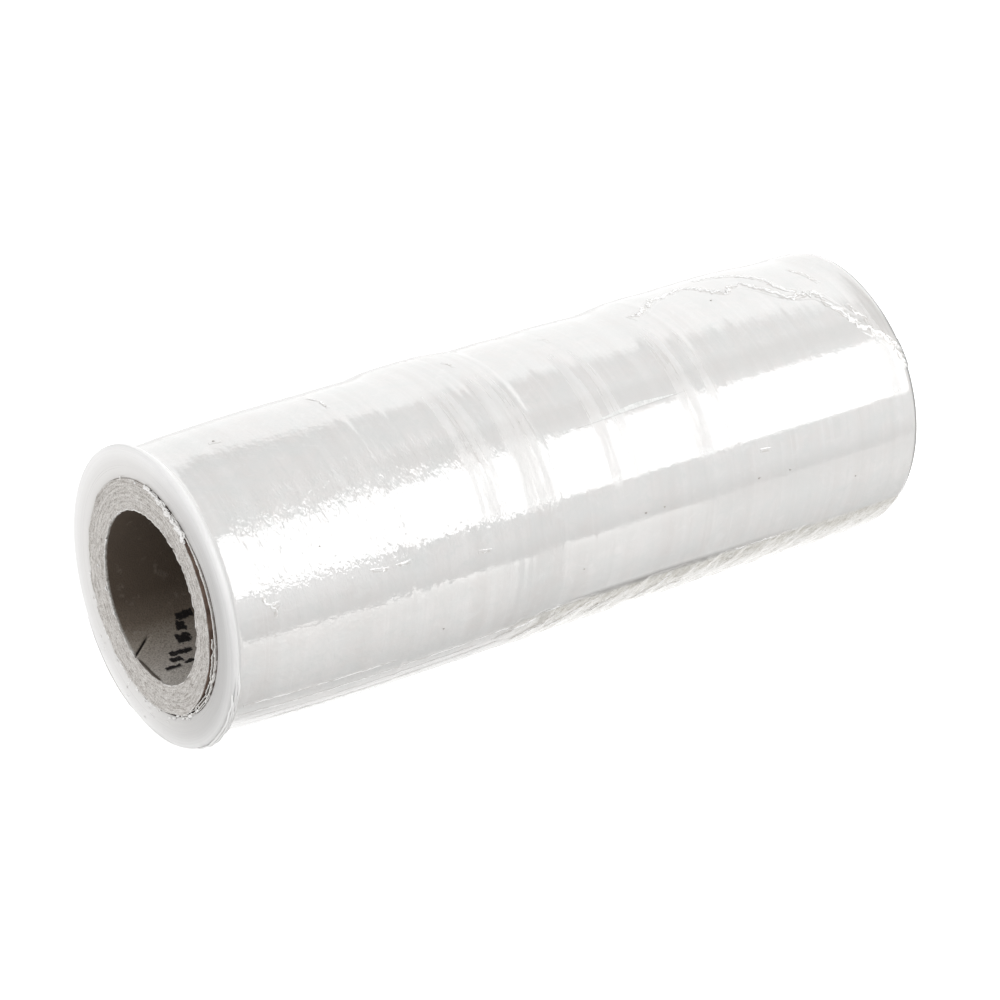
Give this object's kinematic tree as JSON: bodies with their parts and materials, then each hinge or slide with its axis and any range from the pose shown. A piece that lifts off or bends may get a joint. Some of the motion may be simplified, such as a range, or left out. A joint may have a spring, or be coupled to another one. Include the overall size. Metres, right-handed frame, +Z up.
{
  "type": "stretch wrap roll",
  "caption": "Roll of clear stretch film wound on a spiral-wound paperboard tube, for wrapping goods by hand or on a holder pushed through the bore.",
  "frame": {"origin": "on the resting plane, under the middle of the roll", "axes": "+X along the roll, from the end with the open gap to the far end; +Z up from the resting plane"},
  "size_m": [0.25, 0.0902, 0.089],
  "materials": {
    "paperboard": "matte grey paperboard with fine ply lines and a fuzzy cut edge",
    "film": "glossy clear film, milky grey where many turns lie on each other, with wrinkle bands around the roll"
  },
  "bodies": {
    "root": {"core_tube": "paperboard", "film_roll": "film"}
  },
  "joints": []
}
